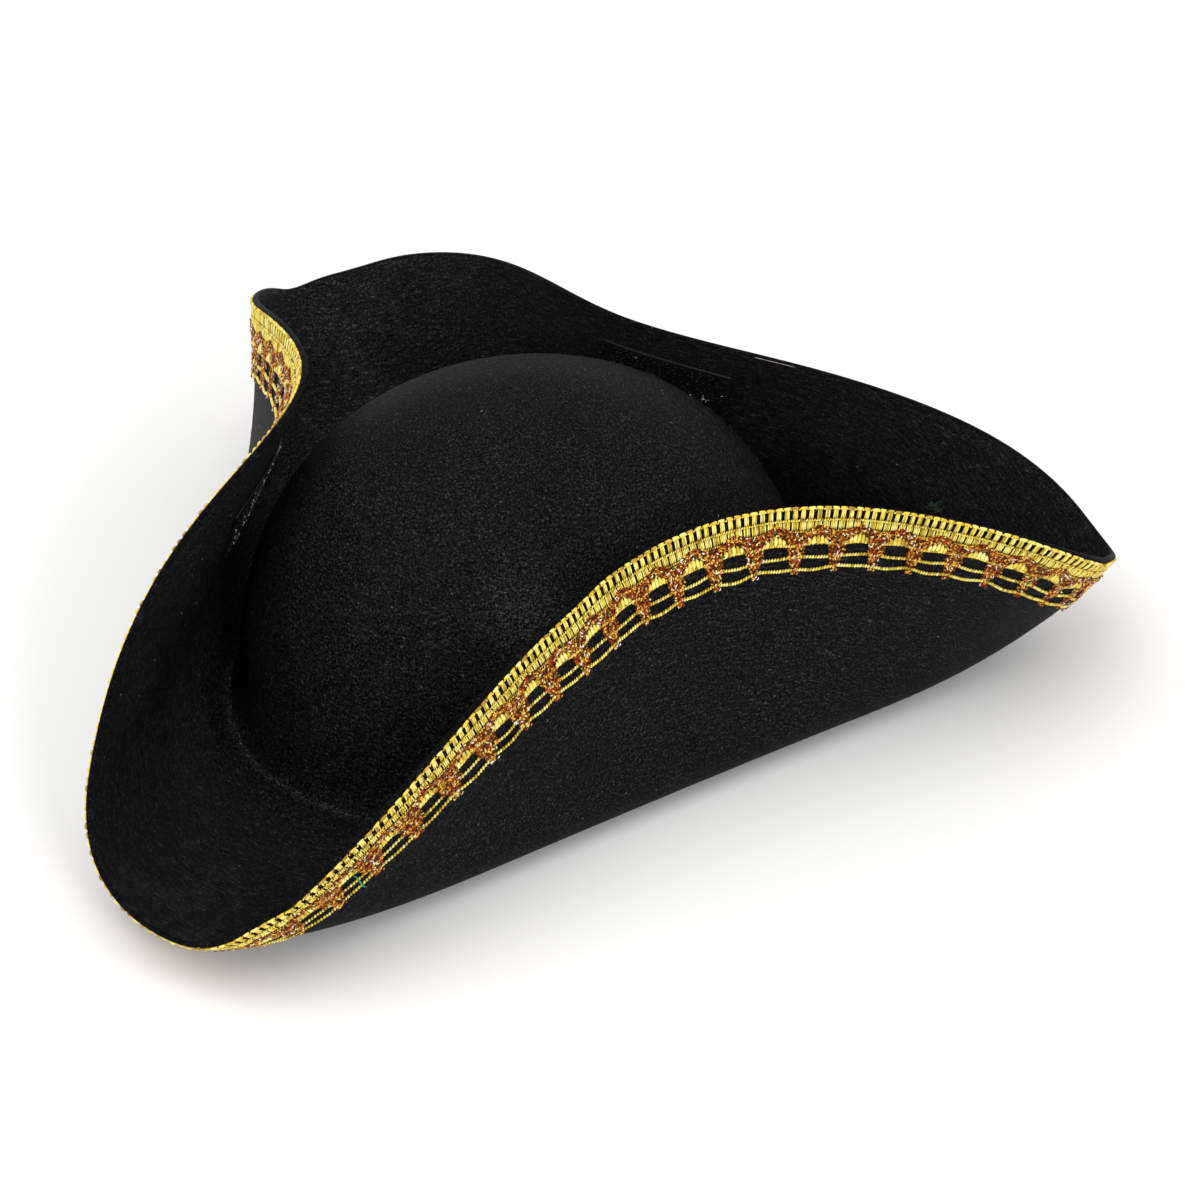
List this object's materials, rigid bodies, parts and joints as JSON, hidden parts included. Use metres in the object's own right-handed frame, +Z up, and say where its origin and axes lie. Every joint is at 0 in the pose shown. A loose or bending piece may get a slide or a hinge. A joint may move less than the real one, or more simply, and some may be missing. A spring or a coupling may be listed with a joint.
{
  "type": "tricorn hat",
  "caption": "Black felt hat with an oval dome crown, a brim turned up on three sides into three points, and a gold lace braid along the rim.",
  "frame": {"origin": "middle of the hat in plan, at the height of the flat underside round the head opening, on which the hat rests", "axes": "+Z up through the crown; -Y towards the front point of the brim; +X to the wearer's left"},
  "size_m": [0.346, 0.3558, 0.1151],
  "materials": {
    "black_felt": "matte pressed felt with a short nap",
    "gold_braid": "satin yellow-gold thread",
    "copper_glitter": "glittering copper and red-gold tinsel yarn",
    "black_tape": "slightly glossy woven tape with fine dots"
  },
  "bodies": {
    "root": {"felt_body": "black_felt", "braid_heading": "gold_braid", "braid_scallops": "copper_glitter", "tape_near": "black_tape", "tape_rear": "black_tape", "tape_left": "black_tape"}
  },
  "joints": []
}
